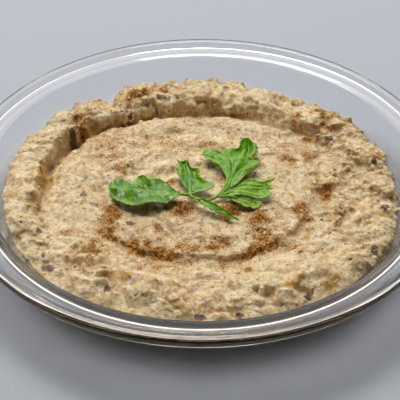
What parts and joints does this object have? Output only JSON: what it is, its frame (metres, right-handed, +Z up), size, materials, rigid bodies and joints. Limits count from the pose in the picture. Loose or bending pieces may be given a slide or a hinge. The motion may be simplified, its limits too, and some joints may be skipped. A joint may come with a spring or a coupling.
{
  "type": "dish of baba ganoush",
  "caption": "Round clear glass dish filled with chunky aubergine dip, swirled with a spoon into a banked spiral, topped with flat-leaf parsley.",
  "frame": {"origin": "middle of the dish's foot, on the surface that it stands on", "axes": "+Z up out of the dish; +Y towards the side where the swirl's trough is deepest; +X to the right of that"},
  "size_m": [0.25, 0.25, 0.034],
  "materials": {
    "dish": "clear, smooth and glossy",
    "dip": null,
    "parsley_left": "fresh green leaf, half glossy",
    "parsley_right": "fresh green leaf, half glossy, paler underneath"
  },
  "bodies": {
    "root": {"dish": "dish", "dip": "dip", "parsley_left": "parsley_left", "parsley_right": "parsley_right"}
  },
  "joints": []
}
